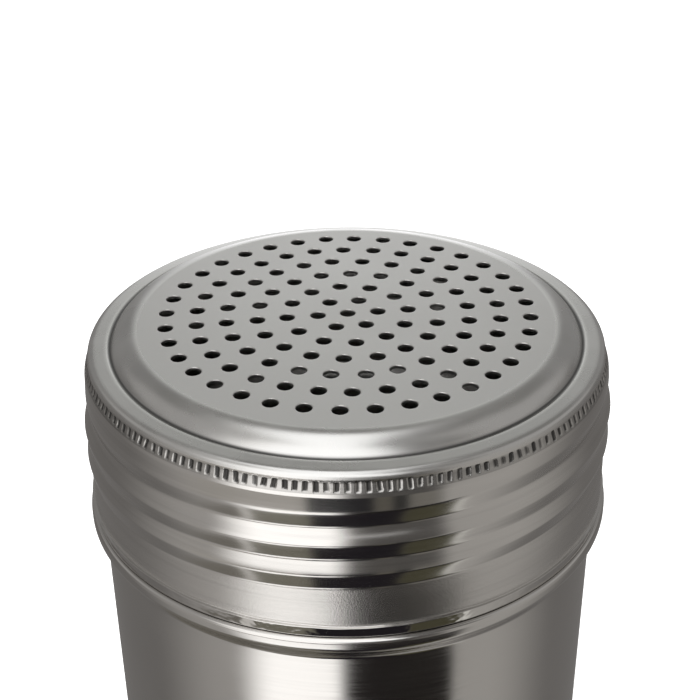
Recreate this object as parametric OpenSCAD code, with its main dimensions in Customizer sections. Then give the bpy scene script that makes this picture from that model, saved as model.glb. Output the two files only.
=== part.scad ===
// Spice shaker for a restaurant kitchen: a drawn steel canister and a screw-on lid with
// a perforated top. Millimetres, +Z up, origin at the centre of the base.

/* [Overall] */
// Height of the closed shaker, from its base to the middle of its perforated top
total_h = 95; // [80:1:130]
// Radius of the lid's lower edge
lid_r = 35.15; // [35:0.05:38]

/* [Sheet] */
// Thickness of the lid's steel sheet
lid_sheet = 0.45; // [0.4:0.05:0.5]
// Thickness of the canister's steel sheet
can_sheet = 0.5; // [0.4:0.05:0.55]

/* [Perforated top] */
// Width of the rim round the perforated part, out to the lid's lower edge
rim_w = 6.65; // [6.45:0.05:7.35]
// How much higher the middle of that part is than its edge
crown_rise = 0.4; // [0.1:0.05:0.6]
// Diameter of each shaker hole
hole_d = 2; // [1:0.1:2.4]
// Rings of holes round the middle one
hole_rings = 6; // [1:1:6]
// Distance from one ring of holes to the next
ring_pitch = 4; // [3.6:0.1:4.2]
// Angle by which the hole pattern is turned
hole_turn = 7.5; // [0:0.5:60]

/* [Lid's rim] */
// Radius of the rounded slope round the perforated part
dome_r = 2.2; // [2:0.05:2.4]
// Radius in the bottom of the groove below that slope
groove_r = 0.4; // [0.35:0.05:0.5]
// How far the flat ring lies below the middle of the top
ring_drop = 2.35; // [2.1:0.05:2.6]
// Radius of the rounded edge outside the flat ring
edge_r = 1.25; // [1:0.05:1.3]
// Height of the band of grip teeth, below the rounded edge
grip_h = 1.2; // [0.9:0.05:1.4]
// Grip teeth round the lid
grip_teeth = 180; // [120:1:200]
// Depth of the slots between the teeth
grip_depth = 0.2; // [0.1:0.01:0.22]
// Radius of the round bottom of each slot
grip_cut_r = 0.5; // [0.4:0.01:0.55]

/* [Lid's skirt] */
// Height of the lid, from its lower edge to the middle of its top
lid_h = 24.95; // [24.9:0.05:30]
// How far the top of the grip teeth lies inside the lower edge
grip_in = 1.2; // [1.1:0.05:1.3]
// How far the smooth band below the teeth lies inside the lower edge
band_in = 0.8; // [0.7:0.05:0.9]
// How far the ridges of the thread lie inside the lower edge
ridge_in = 0.25; // [0.15:0.05:0.35]
// How far the smooth belly below the thread lies inside the lower edge
belly_in = 0.5; // [0.4:0.05:0.6]
// Height of the rolled hem at the lower edge
hem_h = 1.85; // [1.5:0.05:2.4]
// Thickness of the rolled hem
hem_t = 1.1; // [1:0.05:1.2]

/* [Thread] */
// Rise of the thread in one turn
thread_pitch = 4.23; // [4:0.01:4.3]
// Turns of thread rolled into the skirt
thread_turns = 2.9; // [1.8:0.05:2.9]
// Depth of the groove rolled into the skirt
thread_depth = 0.4; // [0.3:0.05:0.55]
// Depth below the top at which that groove first crosses the front
thread_first = 9.1; // [9:0.05:9.3]
// Height of the thread's ridge on the canister's neck
neck_ridge_h = 0.45; // [0.35:0.05:0.5]
// Width of that ridge
neck_ridge_w = 2.6; // [2:0.1:3]
// Turns of thread on the canister's neck
neck_turns = 2.4; // [1:0.05:2.4]

/* [Canister] */
// How far the wall, just below the shoulder, lies inside the lid's lower edge
can_in = 1.4; // [1.2:0.05:2.4]
// How much smaller the wall's radius is at the base
can_taper = 0.75; // [0.1:0.05:1.5]
// Height of the shoulder that the lid closes against
shoulder_h = 4.25; // [3.5:0.05:6]
// Height of the upright band of the shoulder, between its rounded edge and its slope
shoulder_band = 0.65; // [0.3:0.05:1]
// How far the shoulder stands out past the lid's lower edge
shoulder_out = 0.2; // [0:0.05:0.3]
// Radius of the rounded corner at the base
corner_r = 4; // [2:0.5:5]
// Width of the flat foot ring
foot_w = 2.5; // [1:0.1:5]
// How far the bottom is pushed up inside the foot ring
foot_rise = 0.8; // [0.4:0.1:2]
// Width of the slope between the foot ring and the raised bottom
foot_slope = 2.4; // [2:0.1:4]
// Radius of the rolled rim at the mouth
mouth_curl_r = 0.8; // [0.75:0.05:1]

/* [Fit] */
// Gap across, between the canister's thread and the lid's thread
thread_gap = 0.3; // [0.25:0.05:0.35]
// Gap between the lid's lower edge and the canister's shoulder
seat_gap = 0.2; // [0.1:0.05:0.4]
// Gap between the mouth's rim and the underside of the lid
mouth_gap = 0.15; // [0.1:0.05:0.4]

/* [Hidden] */
$fn = 128;

steel = [0.70, 0.69, 0.67];
polished = [0.76, 0.75, 0.73];
arc_steps = 10;         // stretches in a rounded piece of an outline
ogee_steps = 12;        // stretches in an S-shaped piece of an outline
crown_steps = 4;        // stretches in the gentle curve of the top
front = -90;            // direction of the front, where thread_first is measured
start_turns = 0.42;     // turns that the lid's thread has above its first crossing of the front
neck_start_turns = 0.25; // the same for the thread of the neck
fade_turns = 0.28;      // turns over which a thread runs out
ridge_tilt = 0.2;       // turns by which the topmost ridge begins lower at the front
ridge_blend = 1.8;      // height over which the smooth band swells to that ridge
band_h = 0.3;           // height of the plain band between the teeth and the threaded sleeve
groove_round = 0.12;    // rounding of the groove's bottom, as a share of half the pitch
groove_power = 2.1;     // how sharply the ridges fall into the groove
thread_sides = 72;      // flat sides round a threaded sleeve
thread_row = 0.65;      // height of one row of a threaded sleeve's faces
tuck = 0.3;             // how deep a threaded sleeve's ends go into their neighbours
wall_inset = 0.02;      // how far those ends stay inside the neighbours' walls
past = 0.1;             // how far a cutter reaches past the sheet
hem_edge_r = 0.45;      // rounding of the hem's lower edge
shoulder_edge_r = 0.6;  // rounding of the shoulder's upper edge
neck_fillet = 0.6;      // rounding between the neck and the shoulder

// Radii of the lid
top_r = lid_r - rim_w;
grip_r = lid_r - grip_in;
band_r = lid_r - band_in;
ridge_r = lid_r - ridge_in;
belly_r = lid_r - belly_in;

// Levels of the lid, from the top down
slope_top = total_h - crown_rise;
ring_z = total_h - ring_drop;
grip_top = ring_z - edge_r;
grip_low = grip_top - grip_h;
grip_lean = atan((band_r - grip_r) / grip_h);
lid_thread_z = total_h - thread_first;
sleeve_top = grip_low - band_h;
lid_edge = total_h - lid_h;
hem_top = lid_edge + hem_h;
hem_swell = hem_top - 0.95;
sleeve_low = hem_top + 1.2;
belly_top = sleeve_low + 1.5;

// Angle of the slope where it meets the groove, and the radius of the groove's bottom
slope_end = asin(1 - (slope_top - ring_z) / (dome_r + groove_r));
groove_mid = top_r + (dome_r + groove_r) * cos(slope_end);

// The canister's neck, which the lid's thread clears as the lid comes off
neck_crest_r = ridge_r - thread_depth - lid_sheet - thread_gap;
neck_r = neck_crest_r - neck_ridge_h;
neck_thread_z = lid_thread_z + thread_pitch / 2;
mouth_z = ring_z - lid_sheet - mouth_gap;
curl_mid = [neck_r - mouth_curl_r, mouth_z - mouth_curl_r];
shoulder_r = lid_r + shoulder_out;
shoulder_top = lid_edge - seat_gap;
shoulder_low = shoulder_top - shoulder_h;
can_r = lid_r - can_in;
can_base_r = can_r - can_taper;
foot_r = can_base_r - corner_r - foot_w;
neck_sleeve_top = neck_thread_z + neck_start_turns * thread_pitch + neck_ridge_w / 2;
neck_sleeve_low = neck_sleeve_top - neck_turns * thread_pitch - neck_ridge_w;

// Points of an arc round c, from angle a to angle b
function arc(c, r, a, b) =
    [for (i = [0 : arc_steps])
        let (at = a + (b - a) * i / arc_steps)
        c + r * [cos(at), sin(at)]];

// Rises smoothly from 0 to 1 while t goes from 0 to 1
function ease(t) = (1 - cos(180 * max(0, min(1, t)))) / 2;

// Points of an S-shaped stretch from p to q that starts and ends upright
function ogee(p, q) =
    [for (i = [0 : ogee_steps])
        let (t = i / ogee_steps)
        [p[0] + (q[0] - p[0]) * ease(t), p[1] + (q[1] - p[1]) * t]];

// Points of an S-shaped stretch from p to q that starts and ends level
function step(p, q) =
    [for (i = [0 : ogee_steps])
        let (t = i / ogee_steps)
        [p[0] + (q[0] - p[0]) * t, p[1] + (q[1] - p[1]) * ease(t)]];

// Points of the gentle curve from the middle of the top to the start of the slope
function crown() =
    [for (i = [0 : crown_steps])
        [top_r * i / crown_steps, total_h - crown_rise * pow(i / crown_steps, 2)]];

// Unit vector to the right of the way from p to q
function right_of(p, q) = [q[1] - p[1], p[0] - q[0]] / norm(q - p);

// The path without points that repeat the one before
function cleaned(path) =
    [for (i = [0 : len(path) - 1]) if (i == 0 || norm(path[i] - path[i - 1]) > 0.001) path[i]];

// Where corner i of a path goes when both its stretches move the distance d to the right
function moved_corner(path, i, d) =
    let (last = len(path) - 1,
         m = right_of(path[max(i - 1, 0)], path[max(i, 1)]),
         n = right_of(path[min(i, last - 1)], path[min(i + 1, last)]))
    path[i] + d * (m + n) / (1 + m * n);

// The same path, moved to the right, with its first point kept on the axis
function moved(path, d) =
    [for (i = [0 : len(path) - 1])
        let (p = moved_corner(path, i, d))
        [path[i][0] == 0 ? 0 : p[0], p[1]]];

function reversed(path) = [for (i = [len(path) - 1 : -1 : 0]) path[i]];

// A sheet t thick turned about Z, with its outer side along the path
module turned_sheet(path, t) {
    side = cleaned(path);
    rotate_extrude()
        polygon(concat(side, reversed(moved(side, t))));
}

// How a groove deepens towards its centre line, and a ridge rises: 0 at half its width w
// and beyond, 1 in the middle
function groove_shape(off, w) =
    let (d = min(1, sqrt(pow(2 * off / w, 2) + pow(groove_round, 2)) - groove_round))
    pow(1 - d, groove_power);

function ridge_shape(off, w) = ease(1 - abs(2 * off / w));

// How deep a right-handed thread is at angle a and height z, from 0 to 1. It begins the
// turns start above the height first, where it first crosses the front.
function thread_at(a, z, first, start, turns, w, ridge) =
    max([for (k = [0 : ceil(turns)])
        let (down = k + start - (a - front) / 360,
             off = z - first - (start - down) * thread_pitch,
             run = ease(down / fade_turns) * ease((turns - down) / fade_turns))
        run * (ridge ? ridge_shape(off, w) : groove_shape(off, w))]);

// A closed ring of walls: radii(a, z) gives the outer side, t is the wall
module sleeve(low, top, t, radii) {
    rows = ceil((top - low) / thread_row);
    n = thread_sides;
    sag = (1 - cos(180 / n)) * ridge_r;
    wall = t - 2 * wall_inset - sag;
    outer = [for (j = [0 : rows]) for (i = [0 : n - 1])
        let (a = front + 360 * i / n, z = low + (top - low) * j / rows, r = radii(a, z) - wall_inset)
        [r * cos(a), r * sin(a), z]];
    inner = [for (p = outer)
        let (r = norm([p[0], p[1]]))
        [p[0] * (r - wall) / r, p[1] * (r - wall) / r, p[2]]];
    m = len(outer);
    k = n * rows;
    sides = [for (j = [0 : rows - 1]) for (i = [0 : n - 1])
        let (p = j * n + i, q = j * n + (i + 1) % n)
        each [[p, p + n, q], [q, p + n, q + n], [m + p, m + q, m + p + n], [m + q, m + q + n, m + p + n]]];
    ends = [for (i = [0 : n - 1])
        let (q = (i + 1) % n)
        each [[i, q, m + i], [q, m + q, m + i], [k + i, k + m + i, k + q], [k + q, k + m + i, k + m + q]]];
    polyhedron(concat(outer, inner), concat(sides, ends));
}

// Outer radius of the lid's threaded sleeve
function skirt_side(a, z) =
    let (swell_top = sleeve_top - tuck - ridge_tilt * thread_pitch * (1 - sin(a - front)),
         upper = band_r + (ridge_r - band_r) * ease((swell_top - z) / ridge_blend),
         plain = upper + (belly_r - ridge_r) * ease((belly_top - z) / (belly_top - sleeve_low)))
    plain - thread_depth
        * thread_at(a, z, lid_thread_z, start_turns, thread_turns, thread_pitch, false);

// Outer radius of the canister's threaded neck
function neck_side(a, z) =
    neck_r + neck_ridge_h
        * thread_at(a, z, neck_thread_z, neck_start_turns, neck_turns, neck_ridge_w, true);

// Round holes in the top: one in the middle, and six more in each ring than in the last
module shaker_holes() {
    for (ring = [0 : hole_rings])
        for (i = [0 : max(1, 6 * ring) - 1])
            rotate([0, 0, hole_turn + 360 * i / max(1, 6 * ring)])
                translate([ring * ring_pitch, 0, slope_top - lid_sheet - past])
                    cylinder(h = crown_rise + lid_sheet + 2 * past, d = hole_d, $fn = 32);
}

// Round-bottomed slots that leave the grip teeth standing, along the leaning band
module grip_slots() {
    for (i = [0 : grip_teeth - 1])
        rotate([0, 0, 360 * i / grip_teeth])
            translate([grip_r, 0, grip_top])
                rotate([0, 180 - grip_lean, 0])
                    translate([grip_depth - grip_cut_r, 0, -edge_r / 3])
                        cylinder(h = grip_h + edge_r / 3, r = grip_cut_r, $fn = 24);
}

// Top of the lid: crowned disc, rounded slope, groove, flat ring, grip band and smooth band
module lid_crown() {
    path = concat(
        crown(),
        arc([top_r, slope_top - dome_r], dome_r, 90, slope_end),
        arc([groove_mid, ring_z + groove_r], groove_r, 180 + slope_end, 270),
        arc([grip_r - edge_r, ring_z - edge_r], edge_r, 90, 0),
        [[band_r, grip_low]],
        [[band_r, sleeve_top - tuck]]);
    difference() {
        turned_sheet(path, lid_sheet);
        shaker_holes();
        grip_slots();
    }
}

// Foot of the lid: plain belly, flare, and the hem that is rolled inwards
module lid_hem() {
    hem_in = lid_r - hem_t;
    rotate_extrude()
        polygon(concat(
            [[belly_r - lid_sheet, sleeve_low + tuck]],
            [[belly_r, sleeve_low + tuck]],
            ogee([belly_r, hem_top], [lid_r, hem_swell]),
            arc([lid_r - hem_edge_r, lid_edge + hem_edge_r], hem_edge_r, 0, -90),
            arc([hem_in + hem_edge_r, lid_edge + hem_edge_r], hem_edge_r, -90, -180),
            [[hem_in, hem_top - hem_edge_r]],
            [[belly_r - lid_sheet, hem_top]]));
}

module lid() {
    color(polished) {
        lid_crown();
        sleeve(sleeve_low, sleeve_top, lid_sheet, function (a, z) skirt_side(a, z));
        lid_hem();
    }
}

// Rolled rim of the mouth, and the neck above its thread
module mouth() {
    turned_sheet(concat(
        arc(curl_mid, mouth_curl_r, 200, 0),
        [[neck_r, neck_sleeve_top - tuck]]), can_sheet);
}

// Neck below its thread, shoulder, wall and bottom
module cup() {
    turned_sheet(concat(
        [[neck_r, neck_sleeve_low + tuck]],
        arc([neck_r + neck_fillet, shoulder_top + neck_fillet], neck_fillet, 180, 270),
        arc([shoulder_r - shoulder_edge_r, shoulder_top - shoulder_edge_r], shoulder_edge_r, 90, 0),
        ogee([shoulder_r, shoulder_top - shoulder_edge_r - shoulder_band], [can_r, shoulder_low]),
        arc([can_base_r - corner_r, corner_r], corner_r, 0, -90),
        step([foot_r, 0], [foot_r - foot_slope, foot_rise]),
        [[0, foot_rise]]), can_sheet);
}

module canister() {
    color(steel) {
        mouth();
        sleeve(neck_sleeve_low, neck_sleeve_top, can_sheet, function (a, z) neck_side(a, z));
        cup();
    }
}

canister();
lid();
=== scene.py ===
"""Looks of the spice shaker: full-detail canister and lid, their steel, the studio, the camera.

Lengths of the shaker are millimetres, as in the part's source, and become metres in
Skin.build() and Graph.bump(). The studio and the camera are placed in metres. Angles are
degrees; round the shaker's axis the front, which faces the camera, is at -90.
"""
import math
import random

import bmesh
import bpy
from mathutils import Matrix, Vector
from mathutils.geometry import delaunay_2d_cdt


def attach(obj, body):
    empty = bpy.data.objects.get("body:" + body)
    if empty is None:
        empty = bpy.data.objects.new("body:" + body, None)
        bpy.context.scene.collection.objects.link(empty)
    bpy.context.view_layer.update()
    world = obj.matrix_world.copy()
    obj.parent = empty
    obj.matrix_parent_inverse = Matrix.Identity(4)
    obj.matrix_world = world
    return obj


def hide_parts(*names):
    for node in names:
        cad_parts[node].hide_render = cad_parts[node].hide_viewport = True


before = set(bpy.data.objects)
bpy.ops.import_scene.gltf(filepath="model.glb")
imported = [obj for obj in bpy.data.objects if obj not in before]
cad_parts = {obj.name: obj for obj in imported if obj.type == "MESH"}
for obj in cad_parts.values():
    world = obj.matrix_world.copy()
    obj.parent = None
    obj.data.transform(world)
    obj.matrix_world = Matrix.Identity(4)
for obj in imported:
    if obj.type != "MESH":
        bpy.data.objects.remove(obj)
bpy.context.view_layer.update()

MM = 0.001
FRONT = -90

# --- Sizes that repeat the part's source ------------------------------------------------

TOTAL_H = 95
LID_R = 35.15
LID_H = 24.95
LID_SHEET = 0.45
CAN_SHEET = 0.5
RIM_W = 6.65
CROWN_RISE = 0.4
HOLE_R = 1.0
HOLE_RINGS = 6
RING_PITCH = 4
HOLE_TURN = 7.5
DOME_R = 2.2
GROOVE_R = 0.4
RING_DROP = 2.35
EDGE_R = 1.25
GRIP_H = 1.2
GRIP_TEETH = 180
GRIP_DEPTH = 0.2
GRIP_IN = 1.2
BAND_IN = 0.8
HEM_T = 1.1
PITCH = 4.23
THREAD_TURNS = 2.9
THREAD_FIRST = 9.1
START_TURNS = 0.42
FADE_TURNS = 0.28
RIDGE_TILT = 0.2
NECK_IN = 1.85
NECK_RIDGE_H = 0.45
NECK_RIDGE_W = 2.6
NECK_TURNS = 2.4
NECK_START_TURNS = 0.25
NECK_FILLET = 0.6
CURL_R = 0.8
MOUTH_GAP = 0.15
SEAT_GAP = 0.2
SHOULDER_OUT = 0.2
SHOULDER_H = 4.25
SHOULDER_BAND = 0.65
SHOULDER_EDGE_R = 0.6
CAN_IN = 1.4
CAN_TAPER = 0.75
CORNER_R = 4
FOOT_W = 2.5
FOOT_RISE = 0.8
FOOT_SLOPE = 2.4

TOP_R = LID_R - RIM_W
RING_Z = TOTAL_H - RING_DROP
GRIP_TOP = RING_Z - EDGE_R
GRIP_LOW = GRIP_TOP - GRIP_H
GRIP_R = LID_R - GRIP_IN
BAND_R = LID_R - BAND_IN
THREAD_Z = TOTAL_H - THREAD_FIRST
LID_EDGE = TOTAL_H - LID_H
HEM_IN = LID_R - HEM_T
NECK_R = LID_R - NECK_IN
MOUTH_Z = RING_Z - LID_SHEET - MOUTH_GAP
SHOULDER_R = LID_R + SHOULDER_OUT
SHOULDER_TOP = LID_EDGE - SEAT_GAP
SHOULDER_LOW = SHOULDER_TOP - SHOULDER_H
CAN_R = LID_R - CAN_IN
CAN_BASE_R = CAN_R - CAN_TAPER
FOOT_R = CAN_BASE_R - CORNER_R - FOOT_W

SLOPE_END = math.degrees(math.asin(1 - (TOTAL_H - CROWN_RISE - RING_Z) / (DOME_R + GROOVE_R)))
GROOVE_MID = TOP_R + (DOME_R + GROOVE_R) * math.cos(math.radians(SLOPE_END))

# --- Detail that only the looks have ----------------------------------------------------

COLUMNS = 2 * GRIP_TEETH    # points round a plain ring: two for each grip tooth
NEAR = 0.001                # points of an outline that are closer than this are one point
SEED = 7

HOLE_SIDES = 28
HOLE_LIP = 0.11             # rounding that the punch leaves on a hole's upper edge
HOLE_COLLAR = 0.22          # flat ring round a hole that keeps its shading even
PUNCH_SHIFT = (0.25, 0.51)  # how far the punched pattern sits off the lid's axis
PUNCH_PLAY = 0.05           # how far a single hole usually strays from its place
TRIANGLE_NEAR = 1e-5        # the triangulation joins points that are closer than this

SLOPE_R = TOP_R - 1.2       # radius where the perforated top begins to curve down
GROOVE_FLAT = 0.05          # flat bottom between the groove's arc and the ring
GROOVE_SHADE_IN = 0.05              # how far inside the groove's middle the painted shade in it is centred
GROOVE_SHADE_R = 0.375              # half the width of that painted shade
GROOVE_SHADE_FADE = 0.3             # how softly it ends
RING_RISE = 0.11            # how far the ring rises out of the groove before it falls outward
RING_RISE_W = 0.2           # share of the ring's width in which it rises
RING_SPOTS = (0, 0.05, 0.1, 0.15, 0.2, 0.4, 0.6, 0.8, 0.95)  # points across the ring's width
RING_END = 83               # angle on the rounded edge's circle that the ring reaches to
EDGE_START = 79             # angle where the rounded edge begins
EDGE_LAST = 2               # angle of the last row above the straight part of the teeth
EDGE_SINK = 0.03            # how much lower the ring's outer end is than the groove's bottom
EDGE_POWER = 0.76           # 1 makes the rounded edge a quarter circle, less makes it squarer

TOOTH = (0, 0.14, 0.26, 0.325, 0.37, 0.5, 0.63, 0.675, 0.74, 0.86)  # points from slot to slot
SLOT_R = 0.37               # radius that the slots between the grip teeth are rounded to
SLOT_LOW = 0.35             # how far the slots between the teeth reach up the rounded edge
SLOT_FADE = (0.3, 0.25)     # how softly a slot ends at the top and at the bottom
SLOT_MARGIN = 0.02          # how far above the slots the first row of the teeth is
WEAR_DEPTH = (0.55, 1.1)    # least and most depth of a slot, as a share of the full depth
WEAR_LEAN = 0.08            # usual lean of a slot, in mm to the side for each mm up
WEAR_END = 0.2              # how much shorter than the others a slot may be at each end
TOOTH_DARKENING = 0.3           # slight darkening painted over the teeth
SLOT_SHADE_FROM, SLOT_SHADE_FULL = 0.25, 0.75  # depth where a slot's painted shade begins and where it is full, as shares

SKIRT_TOP = GRIP_LOW - 0.1  # level of the skirt's first row
SKIRT_ROW = 0.13            # height of one row of the skirt's faces
BAND_STEP = 0.08            # step from the teeth out to the smooth band
BAND_STEP_H = 0.5           # height in which the band makes that step
BAND_LEAN = 0.20            # how much wider the smooth band is at its foot than at its top
CREST_Z = THREAD_Z + 1.75   # level of the smooth band's foot at the front
RIDGE_FULL = LID_R - 0.03   # radius of the ridges' crests
BELLY_FULL = LID_R - 0.35   # radius at the top of the belly
BELLY_TAPER = 0.49          # how much the belly would draw in from THREAD_Z down to the base
THREAD_LINE = THREAD_Z - 0.33  # level of the topmost groove's centre line at the front
GROOVE_DEPTH = 0.40         # depth of the thread's grooves
GROOVE_ROUND = 0.05         # rounding of a groove's bottom, as a share of half the pitch
GROOVE_POWER = 1.1          # how sharply the ridges fall into a groove
GROOVE_REACH = 1.4          # where a groove's shape is cut off, as a share of half the pitch
CREST_ROUND = 0.10          # rounding of a ridge's crest, as a share of half the pitch
RUN_DEPTH = 0.25            # how much deeper the groove is where it nears its end
RUN_FROM, RUN_TO = 1.9, 2.45  # turns from the thread's start between which it is deeper
RUN_FADE = (0.15, 0.25)     # turns in which it gets deeper and shallower again
SLEEVE_FADE = 0.3           # height in which the ridges give way to the belly
ROLLED_LOW = 0.5            # how far below the last groove's centre line the polish reaches
ROLLED_FADE = 0.7           # height in which the polish fades

CREASE_Z = LID_EDGE + 1.52  # level where the belly meets the hem
HEM_LOW = LID_EDGE - 0.10   # level of the hem's lower edge
HEM_R = LID_R - 0.10        # radius of the hem's widest part
HEM_LIP = 0.08              # height of the step from the crease out to the hem
HEM_SEAM = 0.01             # how far the hem's first ring is from the skirt's last
HEM_BREAK = 0.03            # height between the step and the cone below it
HEM_TUCK = 0.18             # how much the hem draws in towards its lower edge
HEM_ROUND = 0.2             # rounding of the hem's lower edge
HEM_EDGE_START = -10        # angle where that rounding begins outside
HEM_WAVES = (               # height, number round the hem and phase of the waves in its crease
    (0.05, 5, 0.6), (0.035, 11, 2.1), (0.025, 23, 4.0), (0.015, 47, 0))
WAVE_FADE = 1.5             # height above the crease in which the hem's waves die out
WAVE_LOW = HEM_LOW + 0.5    # level from which the waves begin to show on the hem
WAVE_FULL = CREASE_Z - 0.1  # level from which they show in full

INSIDE_TOP = GRIP_LOW - 0.3  # level where the skirt's inner wall meets the rim's
INSIDE_ROWS = 60
NECK_ROWS = 90
NECK_SEAM = 0.05            # how far the neck's end rows stay off the curl and the fillet
CURL_START = 200            # angle where the mouth's curl begins inside
MIDDLE_R = 0.4              # radius of the small disc in the middle of the bottom


# --- Outlines -----------------------------------------------------------------------------

def arc(c, r, a, b, steps=10):
    """Points of an arc round c, from angle a to angle b."""
    angles = [math.radians(a + (b - a) * i / steps) for i in range(steps + 1)]
    return [(c[0] + r * math.cos(t), c[1] + r * math.sin(t)) for t in angles]


def levels(a, b, steps):
    """Evenly spaced numbers from a to b, with both."""
    return [a + (b - a) * i / steps for i in range(steps + 1)]


def line(p, q, steps):
    """Points of a straight stretch, with both its ends."""
    return list(zip(levels(p[0], q[0], steps), levels(p[1], q[1], steps)))


def ease(t):
    """Rises smoothly from 0 to 1 while t goes from 0 to 1."""
    return (1 - math.cos(math.pi * max(0.0, min(1.0, t)))) / 2


def ogee(p, q, steps=14):
    """Points of an S-shaped stretch that starts and ends upright."""
    return [(p[0] + (q[0] - p[0]) * ease(i / steps), p[1] + (q[1] - p[1]) * i / steps)
            for i in range(steps + 1)]


def level_step(p, q, steps=14):
    """Points of an S-shaped stretch that starts and ends level."""
    return [(p[0] + (q[0] - p[0]) * i / steps, p[1] + (q[1] - p[1]) * ease(i / steps))
            for i in range(steps + 1)]


def cleaned(path):
    """The path without points that repeat the one before."""
    kept = path[:1]
    for p in path[1:]:
        if math.dist(p, kept[-1]) > NEAR:
            kept.append(p)
    return kept


def moved(path, d):
    """The path moved by d to the right of its direction."""
    def right(p, q):
        n = math.dist(p, q)
        return (q[1] - p[1]) / n, (p[0] - q[0]) / n

    out = []
    for i, p in enumerate(path):
        m = right(path[max(i - 1, 0)], path[max(i, 1)])
        n = right(path[min(i, len(path) - 2)], path[min(i + 1, len(path) - 1)])
        k = d / (1 + m[0] * n[0] + m[1] * n[1])
        out.append((p[0] + k * (m[0] + n[0]), p[1] + k * (m[1] + n[1])))
    return out


# --- Thread -------------------------------------------------------------------------------

def groove_shape(off, width):
    """How a groove deepens towards its centre line: 0 at half its width, 1 in the middle."""
    d = math.hypot(2 * off / width, GROOVE_ROUND) - GROOVE_ROUND
    rise = (math.hypot(1 - d, CREST_ROUND) + (1 - d)) / 2
    return rise ** GROOVE_POWER if d < GROOVE_REACH else 0.0


def ridge_shape(off, width):
    """How a ridge rises towards its centre line."""
    return ease(1 - abs(2 * off / width))


def helix(a, z, first, start, turns):
    """Each turn of a right-handed thread: height above its centre line, strength, turns down."""
    for k in range(math.ceil(turns) + 1):
        down = k + start - (a - FRONT) / 360
        strength = ease(down / FADE_TURNS) * ease((turns - down) / FADE_TURNS)
        if strength > 0:
            yield z - first - (start - down) * PITCH, strength, down


def run_out(down):
    """How much deeper than elsewhere the groove is, that many turns down from its start."""
    return (RUN_DEPTH * ease((down - RUN_FROM) / RUN_FADE[0])
            * ease((RUN_TO - down) / RUN_FADE[1]))


def ridge_r(a, z):
    """Radius of the band, which widens to a crest and then swells to the full ridges."""
    crest = CREST_Z + RIDGE_TILT * PITCH * math.sin(math.radians(a - FRONT))
    lean = max(0.0, min(1.0, (GRIP_LOW - z) / (GRIP_LOW - crest)))
    swell = ease((crest - z) / PITCH * 2 - 1)
    return (BAND_R + BAND_STEP * ease((GRIP_LOW - z) / BAND_STEP_H) + BAND_LEAN * lean
            + (RIDGE_FULL - BAND_R - BAND_STEP - BAND_LEAN) * swell)


def skirt_r(a, z):
    """Outer radius of the lid's skirt: ridges with grooves, and the upright belly below them."""
    belly = BELLY_FULL - BELLY_TAPER * (1 - z / THREAD_Z)
    sleeve = groove = tail = 0
    for high, strength, down in helix(a, z, THREAD_LINE, START_TURNS, THREAD_TURNS):
        shape = strength * groove_shape(high, PITCH)
        groove = max(groove, shape * (GROOVE_DEPTH + run_out(down)))
        tail = max(tail, shape * run_out(down))
        sleeve = max(sleeve, strength * ease(high / SLEEVE_FADE + 0.5))
    return (ridge_r(a, z) - groove) * sleeve + (belly - tail) * (1 - sleeve)


def neck_r(a, z):
    """Outer radius of the canister's neck."""
    turns = helix(a, z, THREAD_LINE + PITCH / 2, NECK_START_TURNS, NECK_TURNS)
    return NECK_R + NECK_RIDGE_H * max((strength * ridge_shape(high, NECK_RIDGE_W)
                                        for high, strength, _ in turns), default=0)


def rolled(a, z):
    """1 where the thread rollers have burnished the skirt, 0 on the frosted belly below."""
    turns = helix(a, z, THREAD_LINE, START_TURNS, THREAD_TURNS)
    return max((strength * ease((high + ROLLED_LOW) / ROLLED_FADE)
                for high, strength, _ in turns), default=0)


# --- Meshes -------------------------------------------------------------------------------

def round_angles():
    """Angles of the points in a plain ring."""
    return [FRONT + 360 * i / COLUMNS for i in range(COLUMNS)]


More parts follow.
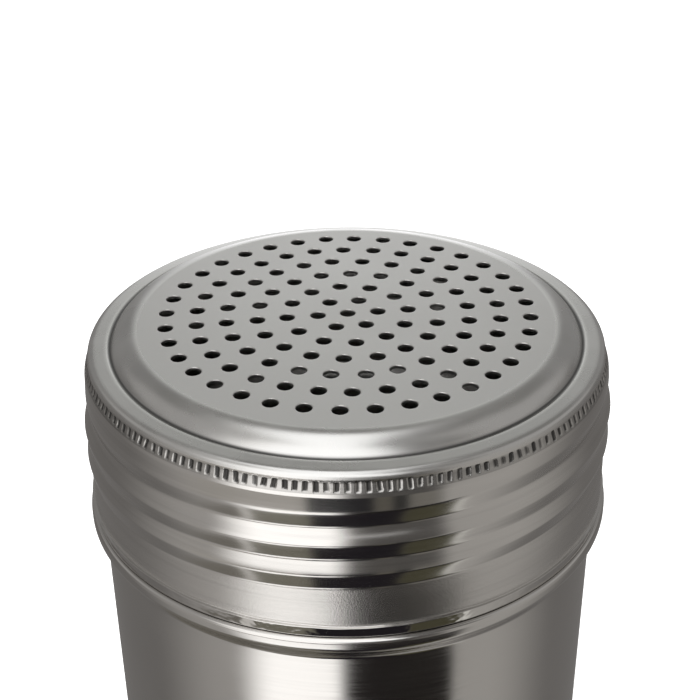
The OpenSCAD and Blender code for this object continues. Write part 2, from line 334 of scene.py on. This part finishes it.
class Skin:
    """A closed sheet that grows ring by ring, outward and down outside, then up inside."""

    def __init__(self):
        # each point carries a polish and a painted shade that darkens the steel's colour in the slots
        # and the groove
        self.points, self.faces, self.slots, self.polish, self.painted_shade = [], [], [], [], []
        self.slot = 0

    def ring(self, angles, spot, polish=0.0, painted_shade=0.0):
        """A ring of points: spot(angle) gives radius and height."""
        first = len(self.points)
        for a in angles:
            r, z = spot(a)
            t = math.radians(a)
            self.points.append((r * math.cos(t), r * math.sin(t), z))
            self.polish.append(polish(a) if callable(polish) else polish)
            self.painted_shade.append(painted_shade(a) if callable(painted_shade) else painted_shade)
        return list(range(first, len(self.points)))

    def face(self, corners):
        self.faces.append(corners)
        self.slots.append(self.slot)

    def strip(self, a, b):
        """Faces between two rings; one may have a whole number of times the other's points."""
        n = min(len(a), len(b))
        ka, kb = len(a) // n, len(b) // n
        for i in range(n):
            up = [a[(i * ka + j) % len(a)] for j in range(ka + 1)]
            low = [b[(i * kb + j) % len(b)] for j in range(kb + 1)]
            self.face(low + up[::-1])

    def rings(self, path, last=None, painted_shade_at=None):
        """Rings along an outline, joined to each other and to the ring before."""
        for p in path:
            # the last argument, if given, gives each ring's painted shade from its radius
            new = self.ring(round_angles(), lambda a: p, 0.0, painted_shade_at(p[0]) if painted_shade_at else 0.0)
            if last:
                self.strip(last, new)
            last = new
        return last

    def build(self, name, materials):
        """The mesh as a Blender object, with smooth shading and outward normals."""
        mesh = bpy.data.meshes.new(name)
        mesh.from_pydata([Vector(p) * MM for p in self.points], [], self.faces)
        for m in materials:
            mesh.materials.append(m)
        mesh.polygons.foreach_set("material_index", self.slots)
        mesh.polygons.foreach_set("use_smooth", [True] * len(mesh.polygons))
        # the polish and the painted shade go to the steels as point attributes
        for key, values in (("polish", self.polish), ("painted_shade", self.painted_shade)):
            mesh.attributes.new(key, "FLOAT", "POINT").data.foreach_set("value", values)
        work = bmesh.new()
        work.from_mesh(mesh)
        bmesh.ops.recalc_face_normals(work, faces=work.faces)
        work.to_mesh(mesh)
        work.free()
        piece = bpy.data.objects.new(name, mesh)
        bpy.context.scene.collection.objects.link(piece)
        return piece


def crown_z(r):
    """Height of the gently crowned top at radius r."""
    return TOTAL_H - CROWN_RISE * (r / TOP_R) ** 2


def hole_centres(chance):
    """Centres of the punched holes: one in the middle and six more in each ring."""
    centres = []
    for ring in range(HOLE_RINGS + 1):
        count = max(1, 6 * ring)
        for i in range(count):
            a = math.radians(HOLE_TURN + 360 * i / count)
            x = ring * RING_PITCH * math.cos(a) + PUNCH_SHIFT[0] + chance.gauss(0, PUNCH_PLAY)
            y = ring * RING_PITCH * math.sin(a) + PUNCH_SHIFT[1] + chance.gauss(0, PUNCH_PLAY)
            centres.append((x, y))
    return centres


def loop_at(skin, centre, r, drop):
    """A ring of points round one hole, drop below the crowned top."""
    first = len(skin.points)
    for j in range(HOLE_SIDES):
        t = 2 * math.pi * j / HOLE_SIDES
        x, y = centre[0] + r * math.cos(t), centre[1] + r * math.sin(t)
        skin.points.append((x, y, crown_z(math.hypot(x, y)) - drop))
        skin.polish.append(0.0)
        skin.painted_shade.append(0.0)
    return list(range(first, len(skin.points)))


def punch(skin, centre):
    """The wall of one hole; gives its upper and lower collar rings."""
    lip = arc((HOLE_R + HOLE_LIP, HOLE_LIP), HOLE_LIP, -90, -180, 4)
    profile = [(HOLE_R + HOLE_COLLAR, 0)] + lip
    profile += [(HOLE_R, LID_SHEET), (HOLE_R + HOLE_COLLAR, LID_SHEET)]
    loops = [loop_at(skin, centre, r, drop) for r, drop in profile]
    for a, b in zip(loops, loops[1:]):
        skin.strip(a, b)
    return loops[0], loops[-1]


def perforated_top(skin, rim_top, rim_low):
    """The crowned disc between the rim rings, as a triangulation that leaves the holes open."""
    chance = random.Random(SEED)
    collars = [punch(skin, c) for c in hole_centres(chance)]
    upper = [rim_top] + [c[0] for c in collars]
    lower = [rim_low] + [c[1] for c in collars]
    top = [i for loop in upper for i in loop]
    low = [i for loop in lower for i in loop]
    owner, edges = [], []
    for k, loop in enumerate(upper):
        first = len(owner)
        owner += [k] * len(loop)
        edges += [(first + j, first + (j + 1) % len(loop)) for j in range(len(loop))]
    flat = [Vector(skin.points[i][:2]) for i in top]
    done = delaunay_2d_cdt(flat, edges, [], 0, TRIANGLE_NEAR)
    source = [ids[0] for ids in done[3]]
    for tri in done[2]:
        t = [source[i] for i in tri]
        if owner[t[0]] and owner[t[0]] == owner[t[1]] == owner[t[2]]:
            continue
        skin.face([top[i] for i in t])
        skin.face([low[i] for i in reversed(t)])


# --- Lid ----------------------------------------------------------------------------------

PLATE, RIM, THREAD, HEM, INSIDE = range(5)  # places of the lid's steels in its material list


def round_edge(a, b, steps):
    """The lid's rounded edge between two angles: squarer than a circle, its top a little sunk."""
    flat = 1 - EDGE_SINK / EDGE_R
    return [(GRIP_R - EDGE_R + EDGE_R * abs(x / EDGE_R) ** EDGE_POWER,
             GRIP_TOP + EDGE_R * abs(z / EDGE_R) ** EDGE_POWER * flat)
            for x, z in arc((0, 0), EDGE_R, a, b, steps)]


def ring_path():
    """Outline of the flat ring, from the groove's bottom to the rounded edge."""
    start = GROOVE_MID + GROOVE_FLAT
    width = GRIP_R - EDGE_R * (1 - math.cos(math.radians(RING_END))) - start
    return [(start + width * t,
             RING_Z + RING_RISE * ease(t / RING_RISE_W) - (RING_RISE + EDGE_SINK) * t)
            for t in RING_SPOTS]


def rim_path():
    """Outline of the lid from the perforated part to the grip teeth."""
    # The slope is an arc that leaves the crowned top level and runs smoothly into the groove.
    run, rise = GROOVE_MID - SLOPE_R, crown_z(SLOPE_R) - RING_Z - GROOVE_R
    slope_r = (run ** 2 + rise ** 2 - GROOVE_R ** 2) / (2 * (rise + GROOVE_R))
    end = math.degrees(math.atan2(slope_r - rise, run))
    return cleaned(
        arc((SLOPE_R, crown_z(SLOPE_R) - slope_r), slope_r, 90, end, 24)
        + arc((GROOVE_MID, RING_Z + GROOVE_R), GROOVE_R, 180 + end, 270, 8)
        + ring_path()
        + round_edge(EDGE_START, 0, 16))


def groove_shade(r):
    """How dark the painted shade in the groove is at radius r: 1 along its bottom, 0 beside it."""
    return ease((GROOVE_SHADE_R - abs(r - GROOVE_MID + GROOVE_SHADE_IN)) / GROOVE_SHADE_FADE)


def tooth_angles():
    """Angles of the points in a ring with grip teeth."""
    return [FRONT + 360 * (i + f) / GRIP_TEETH for i in range(GRIP_TEETH) for f in TOOTH]


def slot_depth(a, z, wear):
    """How deep the slot between two grip teeth is at angle a and height z."""
    turn = (a - FRONT) / 360 * GRIP_TEETH
    middle = round(turn)
    deep, lean, low = wear[middle % GRIP_TEETH]
    across = (turn - middle) * 2 * math.pi * GRIP_R / GRIP_TEETH + lean * (z - GRIP_TOP)
    cut = math.sqrt(max(0.0, SLOT_R ** 2 - across * across)) - (SLOT_R - GRIP_DEPTH)
    ends = (ease((GRIP_TOP + SLOT_LOW - low - z) / SLOT_FADE[0])
            * ease((z - GRIP_LOW - low) / SLOT_FADE[1]))
    return max(0.0, cut) * deep * ends


def slot_shade(a, z, wear):
    """How dark the painted shade in a slot is: 1 along its bottom, a slight darkening on the teeth.
    """
    teeth_darkening = TOOTH_DARKENING * ease((GRIP_TOP + SLOT_LOW - z) / SLOT_FADE[0])
    share = slot_depth(a, z, wear) / GRIP_DEPTH
    return max(teeth_darkening, ease((share - SLOT_SHADE_FROM) / (SLOT_SHADE_FULL - SLOT_SHADE_FROM)))


def grip(skin, last, wear):
    """Rows of the band with the grip teeth, from the rounded edge down to the smooth band."""
    # The first row is where the rounded edge is SLOT_MARGIN above the slots.
    start = math.degrees(math.asin(((SLOT_LOW + SLOT_MARGIN) / EDGE_R) ** (1 / EDGE_POWER)))
    rows = round_edge(start, EDGE_LAST, 5)
    rows += line((GRIP_R, GRIP_TOP), (BAND_R, GRIP_LOW), 12)
    for r, z in rows:
        # each point also gets painted shade that darkens the slots between the teeth
        new = skin.ring(tooth_angles(), lambda a: (r - slot_depth(a, z, wear), z), 1.0,
                        lambda a: slot_shade(a, z, wear))
        skin.strip(last, new)
        last = new
    return last


def hem_wave(a):
    """How far the hem's rolled upper edge strays up or down at angle a."""
    t = math.radians(a)
    return sum(height * math.sin(waves * t + start) for height, waves, start in HEM_WAVES)


def skirt(skin, last):
    """Band, thread and belly, down to the crease above the hem."""
    for z in levels(SKIRT_TOP, CREASE_Z, round((SKIRT_TOP - CREASE_Z) / SKIRT_ROW)):
        fall = ease((CREASE_Z + WAVE_FADE - z) / WAVE_FADE)
        new = skin.ring(round_angles(), lambda a: (skirt_r(a, z), z + fall * hem_wave(a)),
                        lambda a: 1.0 if z > CREST_Z else rolled(a, z))
        skin.strip(last, new)
        last = new
    return last


def hem(skin, last):
    """The burnished hem: a small step under the crease, a cone, and the rolled edge."""
    top, low = CREASE_Z - HEM_LIP, HEM_LOW + HEM_ROUND
    step = ogee((skirt_r(FRONT, CREASE_Z) + HEM_SEAM, CREASE_Z - HEM_SEAM), (HEM_R, top), 6)
    cone = line((HEM_R, top - HEM_BREAK), (HEM_R - HEM_TUCK, low), 12)
    edge = arc((HEM_R - HEM_TUCK - HEM_ROUND, low), HEM_ROUND, HEM_EDGE_START, -90, 6)
    under = arc((HEM_IN + HEM_ROUND, low), HEM_ROUND, -90, -180, 6)
    for r, z in cleaned(step + cone + edge + under + [(HEM_IN, CREASE_Z - HEM_ROUND)]):
        rise = ease((z - WAVE_LOW) / (WAVE_FULL - WAVE_LOW))
        new = skin.ring(round_angles(), lambda a: (r, z + rise * hem_wave(a)), 1.0)
        skin.strip(last, new)
        last = new
    return last


def lid_inside(skin, last):
    """The wall inside the skirt, from the crease up to the rim."""
    for z in levels(CREASE_Z, INSIDE_TOP, INSIDE_ROWS):
        new = skin.ring(round_angles(), lambda a: (skirt_r(a, z) - LID_SHEET, z))
        skin.strip(last, new)
        last = new
    return last


def lid():
    """The screw-on shaker top, one closed sheet from the holes to the hem and back inside."""
    chance = random.Random(SEED + 1)
    wear = [(chance.uniform(*WEAR_DEPTH), chance.gauss(0, WEAR_LEAN), chance.uniform(0, WEAR_END))
            for _ in range(GRIP_TEETH)]
    skin = Skin()
    rim = rim_path()
    above_teeth = [p for p in rim[1:] if p[1] > GRIP_TOP + SLOT_LOW + 2 * SLOT_MARGIN]
    skin.slot = RIM
    rim_top = skin.rings(rim[:1])
    # the groove on the ring's inner side gets painted shade
    last = skin.rings(above_teeth, rim_top, groove_shade)
    skin.slot = THREAD
    last = grip(skin, last, wear)
    last = skirt(skin, last)
    skin.slot = HEM
    last = hem(skin, last)
    skin.slot = INSIDE
    last = lid_inside(skin, last)
    outside = cleaned(rim + [(BAND_R, GRIP_LOW), (BAND_R, INSIDE_TOP)])
    last = skin.rings(moved(outside, LID_SHEET)[::-1][1:], last)
    skin.slot = PLATE
    perforated_top(skin, rim_top, last)
    piece = skin.build("lid_shell", [plate_steel(), rim_steel(), thread_steel(), hem_steel(),
                                     inside_steel()])
    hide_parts("lid")
    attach(piece, "lid")


# --- Canister -----------------------------------------------------------------------------

CAN_WALL, CAN_NECK, CAN_INSIDE, CAN_FOOT = range(4)  # the same for the canister's


def shoulder_path():
    """Outline of the shoulder that the lid closes against, from the foot of the neck."""
    return cleaned(
        arc((NECK_R + NECK_FILLET, SHOULDER_TOP + NECK_FILLET), NECK_FILLET, 180, 270, 8)
        + line((NECK_R + NECK_FILLET, SHOULDER_TOP), (SHOULDER_R - SHOULDER_EDGE_R, SHOULDER_TOP),
               3))


def side_path():
    """Outline of the shoulder's rounded side and the wall below it."""
    edge = (SHOULDER_R - SHOULDER_EDGE_R, SHOULDER_TOP - SHOULDER_EDGE_R)
    return cleaned(
        arc(edge, SHOULDER_EDGE_R, 90, 0, 10)
        + ogee((SHOULDER_R, edge[1] - SHOULDER_BAND), (CAN_R, SHOULDER_LOW), 28)
        + line((CAN_R, SHOULDER_LOW), (CAN_BASE_R, CORNER_R), 30))


def bottom_path():
    """Outline of the rounded corner, the foot ring and the bottom, almost to the axis."""
    return cleaned(
        arc((CAN_BASE_R - CORNER_R, CORNER_R), CORNER_R, 0, -90, 16)
        + line((CAN_BASE_R - CORNER_R, 0), (FOOT_R, 0), 2)
        + level_step((FOOT_R, 0), (FOOT_R - FOOT_SLOPE, FOOT_RISE))
        + line((FOOT_R - FOOT_SLOPE, FOOT_RISE), (MIDDLE_R, FOOT_RISE), 8))


def neck(skin, last, low, top, inward=0.0):
    """Rows of the threaded neck from one height to another."""
    for z in levels(low, top, NECK_ROWS):
        new = skin.ring(round_angles(), lambda a: (neck_r(a, z) - inward, z))
        skin.strip(last, new)
        last = new
    return last


def canister():
    """The drawn steel cup, one closed sheet from the mouth's curl to the bottom and back."""
    curl = (NECK_R - CURL_R, MOUTH_Z - CURL_R)
    neck_top, neck_low = curl[1] - NECK_SEAM, SHOULDER_TOP + NECK_FILLET + NECK_SEAM
    skin = Skin()
    skin.slot = CAN_NECK
    mouth = cleaned(arc(curl, CURL_R, CURL_START, 0, 20))
    first = skin.rings(mouth[:1])
    last = skin.rings(mouth[1:], first)
    last = neck(skin, last, neck_top, neck_low)
    last = skin.rings(shoulder_path(), last)
    skin.slot = CAN_WALL
    last = skin.rings(side_path()[1:], last)
    skin.slot = CAN_FOOT
    last = skin.rings(bottom_path()[1:], last)
    skin.face(last[::-1])
    skin.slot = CAN_INSIDE
    outside = cleaned(shoulder_path() + side_path() + bottom_path())
    back = moved(outside, CAN_SHEET)[::-1]
    last = skin.rings(back[:1])
    skin.face(last)
    last = skin.rings(back[1:], last)
    last = neck(skin, last, neck_low, neck_top, CAN_SHEET)
    last = skin.rings(moved(mouth, CAN_SHEET)[::-1], last)
    skin.strip(last, first)
    piece = skin.build("canister_shell", [wall_steel(), neck_steel(), inside_steel(),
                                          foot_steel()])
    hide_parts("canister")
    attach(piece, "canister")


# --- Steel --------------------------------------------------------------------------------

class Graph:
    """Short calls for building a node tree."""

    def __init__(self, tree):
        self.tree = tree
        tree.nodes.clear()

    def node(self, kind, inputs=None, **props):
        made = self.tree.nodes.new("ShaderNode" + kind)
        for key, value in props.items():
            setattr(made, key, value)
        for key, value in (inputs or {}).items():
            self.put(made.inputs[key], value)
        return made

    def put(self, socket, value):
        if isinstance(value, bpy.types.NodeSocket):
            self.tree.links.new(value, socket)
        else:
            socket.default_value = value

    def math(self, operation, *values):
        made = self.node("Math", operation=operation)
        for socket, value in zip(made.inputs, values):
            self.put(socket, value)
        return made.outputs[0]

    def mix(self, factor, a, b):
        """Colour between a and b."""
        return self.node("Mix", {0: factor, 6: a, 7: b}, data_type="RGBA").outputs[2]

    def blend(self, factor, a, b):
        """Number between a and b."""
        return self.node("Mix", {0: factor, 2: a, 3: b}, data_type="FLOAT").outputs[0]

    def step(self, value, low, high, a=0.0, b=1.0):
        """Goes smoothly from a to b while value goes from low to high."""
        made = self.node("MapRange", {"Value": value, "From Min": low, "From Max": high,
                                      "To Min": a, "To Max": b},
                         interpolation_type="SMOOTHSTEP")
        return made.outputs[0]

    def noise(self, where, scale, detail=2.0, stretch=(1, 1, 1)):
        """Noise from about 0 to 1, with scale lumps a metre before the stretch."""
        at = self.node("Mapping", {"Vector": where, "Scale": stretch}).outputs[0]
        made = self.node("TexNoise", {"Vector": at, "Scale": scale, "Detail": detail})
        return made.outputs["Fac"]

    def bump(self, height, distance, strength, normal=None):
        """Normal that follows a height; distance is the millimetres that a height of 1 stands for."""
        made = self.node("Bump", {"Height": height, "Distance": distance * MM,
                                  "Strength": strength})
        if normal:
            self.put(made.inputs["Normal"], normal)
        return made.outputs[0]

    def attribute(self, name):
        """Value that the mesh carries at each of its points."""
        return self.node("Attribute", attribute_name=name).outputs["Fac"]


WARM_STEEL = (0.66, 0.645, 0.625)
PALE_STEEL = (0.70, 0.695, 0.68)
CLOUD = (0.3, 0.7)          # noise values between which clouds change the roughness
STREAK = (0.35, 0.65)       # the same for streaks, marks and scuffs


def steel(name, tint, build, darkest=0.9):
    """A steel: build(graph, place) gives roughness, normal and a shade from 0 to 1.

    Where the shade is 0, the tint is darkened to the share given by darkest.
    """
    material = bpy.data.materials.new(name)
    material.use_nodes = True
    g = Graph(material.node_tree)
    place = g.node("TexCoord").outputs["Object"]
    rough, normal, shade = build(g, place)
    dark = [c * darkest for c in tint]
    shader = g.node("BsdfPrincipled", {"Metallic": 1.0, "Roughness": rough, "Normal": normal,
                                       "Base Color": g.mix(shade, (*dark, 1), (*tint, 1))})
    g.node("OutputMaterial", {"Surface": shader.outputs[0]})
    return material


def plate_steel():
    """Even satin of the perforated top: fine grain, faint clouds."""
    def build(g, place):
        grain = g.noise(place, 9000, 1)
        clouds = g.noise(place, 90, 3)
        rough = g.step(clouds, *CLOUD, 0.40, 0.46)
        return rough, g.bump(grain, 0.02, 0.3), clouds
    return steel("satin_top", PALE_STEEL, build)


def rim_steel():
    """Rounded slope and flat ring: a softer gloss, with painted shade along the bottom of the groove.
    """
    def build(g, place):
        painted_shade = g.attribute("painted_shade")
        clouds = g.noise(place, 120, 3)
        grain = g.noise(place, 7000, 1)
        rough = g.blend(painted_shade, g.step(clouds, *CLOUD, 0.24, 0.31), 0.4)
        # painted shade: along the groove's bottom the colour is darkened almost to black
        shade = g.blend(painted_shade, g.step(clouds, 0.2, 0.8, 0.88, 1.0), 0.1)
        return rough, g.bump(grain, 0.02, 0.2), shade
    return steel("satin_rim", PALE_STEEL, build, 0.12)


def thread_steel():
    """Skirt: burnished where the thread was rolled, frosted like orange peel on the belly."""
    def build(g, place):
        polish, painted_shade = g.attribute("polish"), g.attribute("painted_shade")
        peel = g.noise(place, 5200, 2)
        marks = g.noise(place, 260, 4, (0.12, 0.12, 6))
        rough = g.blend(painted_shade, g.blend(polish, 0.27, 0.14), 0.55)
        peel_height = g.math("MULTIPLY", peel, g.blend(polish, 1.0, 0.1))
        normal = g.bump(marks, 0.01, 0.2, g.bump(peel_height, 0.03, 0.4))
        # painted shade in the slots and over the teeth, together with the streaky marks, darkens the
        # colour
        shade_and_marks = g.math("ADD", painted_shade, g.math("MULTIPLY", marks, 0.5))
        return rough, normal, g.step(shade_and_marks, 0.15, 1.15, 1, 0)
    return steel("rolled_skirt", WARM_STEEL, build, 0.13)


def hem_steel():
    """Burnished hem: nearly a mirror, with small dents that bend its reflections."""
    def build(g, place):
        dents = g.noise(place, 330, 2, (1, 1, 1.6))
        marks = g.noise(place, 1400, 2)
        rough = g.step(marks, *STREAK, 0.04, 0.09)
        return rough, g.bump(dents, 0.2, 0.35), marks
    return steel("burnished_hem", WARM_STEEL, build)


def brushed(g, place, scale=420):
    """Brush lines round the wall, as a height: fine ones and coarser ones between them."""
    fine = g.noise(place, scale, 5, (0.05, 0.05, 9))
    coarse = g.noise(place, scale * 0.35, 3, (0.08, 0.08, 7))
    return g.blend(0.45, fine, coarse)


def wall_steel():
    """Canister's wall: brushed round, with streaks that catch the light."""
    def build(g, place):
        lines = brushed(g, place)
        clouds = g.noise(place, 60, 3)
        rough = g.math("ADD", g.step(lines, *STREAK, 0.12, 0.18),
                       g.step(clouds, *CLOUD, -0.02, 0.03))
        return rough, g.bump(lines, 0.01, 0.3), clouds
    return steel("brushed_wall", WARM_STEEL, build)


def neck_steel():
    """Canister's neck and shoulder: drawn, half gloss."""
    def build(g, place):
        lines = brushed(g, place, 300)
        rough = g.step(lines, *STREAK, 0.16, 0.24)
        return rough, g.bump(lines, 0.03, 0.25), lines
    return steel("drawn_neck", WARM_STEEL, build)


def inside_steel():
    """Inner walls: dull from drawing."""
    def build(g, place):
        clouds = g.noise(place, 150, 4)
        grain = g.noise(place, 4000, 2)
        rough = g.step(clouds, *CLOUD, 0.3, 0.42)
        return rough, g.bump(grain, 0.04, 0.3), clouds
    return steel("drawn_inside", WARM_STEEL, build)


def foot_steel():
    """Bottom and foot ring: scuffed by counters."""
    def build(g, place):
        scuffs = g.noise(place, 500, 5, (1, 0.2, 1))
        rough = g.step(scuffs, *STREAK, 0.25, 0.42)
        return rough, g.bump(scuffs, 0.04, 0.3), scuffs
    return steel("scuffed_foot", WARM_STEEL, build)


# --- Studio -------------------------------------------------------------------------------

# Boards of the light tent, by compass direction from the shaker (0 is the camera's side,
# positive to the right) and by height: where each starts and ends, how soft its two ends
# are, and how bright it is. Later ones cover earlier ones.
WALLS = (0.18, 0.172, 0.166)
BOARDS = [
    # from, to, softness, from height, to height, softness, brightness
    # Walls on the right and the left.
    (38, 92, (8, 50), -90, 90, 8, (0.43, 0.415, 0.395)),
    (-85, -38, (45, 10), -52, 75, 4, (0.40, 0.385, 0.37)),
    # Bright window to the left of the camera, and the wider one above it.
    (-47, -3, (22, 12), -52, 22, 4, (1.62, 1.60, 1.58)),
    (-60, -4, (50, 14), 22, 75, 6, (1.62, 1.60, 1.58)),
    # Dark screens to the right of the camera, in the middle, low and high.
    (5, 35, (12, 8), -20, 34, 6, (0.10, 0.095, 0.09)),
    (-2, 50, (10, 6), -90, -33, 4, (0.02, 0.018, 0.017)),
    (12, 62, (20, 12), 32, 80, 6, (0.13, 0.125, 0.12)),
    # Low row in front, from left to right, which the belly and the wall show as stripes.
    (-66, -10, (30, 10), -31, -19, 3, (0.42, 0.40, 0.37)),
    (-17, 11, (4, 3), -32, -19, 3, (0.02, 0.02, 0.022)),
    (11, 18, (3, 3), -32, -19, 3, (0.13, 0.12, 0.10)),
    (18, 25, (3, 3), -32, -19, 3, (0.025, 0.025, 0.025)),
    (25, 38, (3, 8), -32, -19, 3, (0.20, 0.19, 0.17)),
    # Table round the shaker, and the patches on it.
    (-170, 60, (20, 4), -90, -52, 4, (0.18, 0.168, 0.146)),
    (-51, -20, (3, 3), -90, -51, 4, (0.20, 0.19, 0.155)),
    (-58, -52, (3, 3), -90, -48, 4, (0.70, 0.68, 0.65)),
    (-20, 31, (5, 4), -90, -49, 4, (0.018, 0.016, 0.019)),
    (31, 58, (4, 3), -90, -49, 4, (0.075, 0.07, 0.045)),
    (58, 63, (3, 3), -90, -49, 4, (0.75, 0.74, 0.70)),
    # Sides, and the two halves of the far side.
    (66, 130, (20, 20), 15, 60, 10, (0.44, 0.43, 0.42)),
    (-130, -60, (20, 20), 15, 60, 10, (0.40, 0.39, 0.38)),
    (130, 180, (20, 1), -8, 42, 12, (0.29, 0.285, 0.28)),
    (-181, -130, (1, 20), -8, 42, 12, (0.27, 0.265, 0.26)),
    # Bright board over the camera.
    (-40, 23, (10, 4), 24, 84, 6, (1.6, 1.6, 1.6)),
]

# Strips overhead that run from front to back, by their lean from upright: where each starts
# and ends, how soft its two ends are, and how bright it is.
STRIPS = [
    (-48, -14, (30, 6), (0.80, 0.79, 0.77)),
    (8, 36, (4, 14), (0.13, 0.125, 0.12)),
    (-17, 8, (6, 3), (1.6, 1.6, 1.6)),
]
STRIP_FROM, STRIP_TO, STRIP_SOFT = 64, 120, 10  # heights; the strips have no upper end

# Board right behind the shaker: bright up to a height, and dim above it. Each of its edges is
# given by the two directions between which it fades, counted from the camera's side.
BACK_BRIGHT = (1.45, 1.45, 1.47)
BACK_DIM = (0.675, 0.685, 0.665)
BACK_LOW_EDGE = (160, 176)
BACK_HIGH_EDGE = (157, 174)
BACK_DIM_FROM = (10, 24)    # heights between which the bright part becomes the dim one
BACK_DARK = (0.23, 0.225, 0.215)
BACK_DARK_EDGE = (100, 125)
BACK_DARK_FROM = (38, 43)   # heights above which everything behind is dark

FLOOR_SIZE = 6
FLOOR_DROP = 0.0002         # how far the table lies below the foot ring, so that they stay apart
FLOOR_SHADE = 0.85
FLOOR_GLOW = 0.72           # light that the table adds for the camera, so that it looks white
LAMP_SIZE = 1.2
LAMP_POWER = 9
LAMP_SPOT = (-0.25, 0.1, 1.3)
LENS = 76.2                 # focal length and sensor's width, both in millimetres
SENSOR = 36
NEAR_CLIP = 0.01
CAMERA_SPOT = (0.0003, -0.17216, 0.18540)
CAMERA_DOWN = 29.065        # how far the camera looks down from level
CAMERA_TURN = -0.061
CAMERA_ROLL = -0.59


def between(g, value, low, high, soft):
    """1 while value is between low and high, 0 outside; soft is the width of each end's fade."""
    return g.math("MULTIPLY", g.step(value, low - soft[0] / 2, low + soft[0] / 2),
                  g.step(value, high + soft[1] / 2, high - soft[1] / 2))


def board(g, azimuth, height, a, b, soft, low, high, soft_h):
    """How much of one board lies in a direction, from 0 to 1."""
    return g.math("MULTIPLY", between(g, azimuth, a, b, soft),
                  between(g, height, low, high, (soft_h, soft_h)))


def with_back(g, colour, azimuth, height):
    """The tent's colour with the board behind the shaker, and the dark above that."""
    turned = g.math("ABSOLUTE", azimuth)
    dim = g.step(height, *BACK_DIM_FROM)
    back = g.blend(dim, g.step(turned, *BACK_LOW_EDGE), g.step(turned, *BACK_HIGH_EDGE))
    colour = g.mix(back, colour, g.mix(dim, (*BACK_BRIGHT, 1), (*BACK_DIM, 1)))
    dark = g.math("MULTIPLY", g.step(height, *BACK_DARK_FROM), g.step(turned, *BACK_DARK_EDGE))
    return g.mix(dark, colour, (*BACK_DARK, 1))


def tent_colour(g):
    """Colour of the tent in the direction that a reflection looks."""
    way = g.node("SeparateXYZ", {0: g.node("TexCoord").outputs["Generated"]})
    x, y, z = way.outputs
    azimuth = g.math("DEGREES", g.math("ARCTAN2", x, g.math("MULTIPLY", y, -1.0)))
    height = g.math("DEGREES", g.math("ARCSINE", z))
    lean = g.math("DEGREES", g.math("ARCTAN2", x, z))
    colour = (*WALLS, 1)
    for *place, bright in BOARDS:
        colour = g.mix(board(g, azimuth, height, *place), colour, (*bright, 1))
    colour = with_back(g, colour, azimuth, height)
    for a, b, soft, bright in STRIPS:
        strip = board(g, lean, height, a, b, soft, STRIP_FROM, STRIP_TO, STRIP_SOFT)
        colour = g.mix(strip, colour, (*bright, 1))
    return colour


def studio():
    """The light tent as the world: white for the camera, boards for the steel."""
    world = bpy.data.worlds.new("tent")
    world.use_nodes = True
    bpy.context.scene.world = world
    g = Graph(world.node_tree)
    tent = g.node("Background", {"Color": tent_colour(g), "Strength": 1.0})
    white = g.node("Background", {"Color": (1, 1, 1, 1), "Strength": 1.0})
    camera_ray = g.node("LightPath").outputs["Is Camera Ray"]
    both = g.node("MixShader", {0: camera_ray, 1: tent.outputs[0], 2: white.outputs[0]})
    g.node("OutputWorld", {"Surface": both.outputs[0]})


def pale_floor():
    """White table: it takes the shaker's shadow, and the background is as white as paper."""
    material = bpy.data.materials.new("white_table")
    material.use_nodes = True
    g = Graph(material.node_tree)
    lit = g.node("BsdfDiffuse", {"Color": (FLOOR_SHADE, FLOOR_SHADE, FLOOR_SHADE, 1)})
    glow = g.node("Emission", {"Color": (1, 1, 1, 1), "Strength": FLOOR_GLOW})
    path = g.node("LightPath").outputs
    seen = g.math("MAXIMUM", path["Is Camera Ray"],
                  g.math("MAXIMUM", path["Is Glossy Ray"], path["Is Transmission Ray"]))
    bright = g.node("AddShader", {0: lit.outputs[0], 1: glow.outputs[0]})
    both = g.node("MixShader", {0: seen, 1: lit.outputs[0], 2: bright.outputs[0]})
    g.node("OutputMaterial", {"Surface": both.outputs[0]})
    bpy.ops.mesh.primitive_plane_add(size=FLOOR_SIZE, location=(0, 0, -FLOOR_DROP))
    floor = bpy.context.object
    floor.name = "table"
    floor.data.materials.append(material)
    floor.visible_glossy = False


def lamps():
    """One wide soft lamp overhead, for a gentle shadow under the shaker."""
    light = bpy.data.lights.new("overhead", "AREA")
    light.shape = "DISK"
    light.size = LAMP_SIZE
    light.energy = LAMP_POWER
    lamp = bpy.data.objects.new("overhead", light)
    lamp.location = LAMP_SPOT
    lamp.rotation_euler = Vector(LAMP_SPOT).to_track_quat("Z", "Y").to_euler()
    lamp.visible_glossy = False
    bpy.context.scene.collection.objects.link(lamp)


def camera():
    """The photograph's viewpoint, above the front of the lid."""
    lens = bpy.data.cameras.new("photo")
    lens.sensor_width = SENSOR
    lens.lens = LENS
    lens.clip_start = NEAR_CLIP
    view = bpy.data.objects.new("photo", lens)
    turn = (Matrix.Rotation(math.radians(CAMERA_TURN), 4, "Z")
            @ Matrix.Rotation(math.radians(90 - CAMERA_DOWN), 4, "X")
            @ Matrix.Rotation(math.radians(CAMERA_ROLL), 4, "Z"))
    view.matrix_world = Matrix.Translation(CAMERA_SPOT) @ turn
    bpy.context.scene.collection.objects.link(view)
    bpy.context.scene.camera = view


camera()
lid()
canister()
studio()
pale_floor()
lamps()
bpy.context.scene.view_settings.view_transform = "Standard"
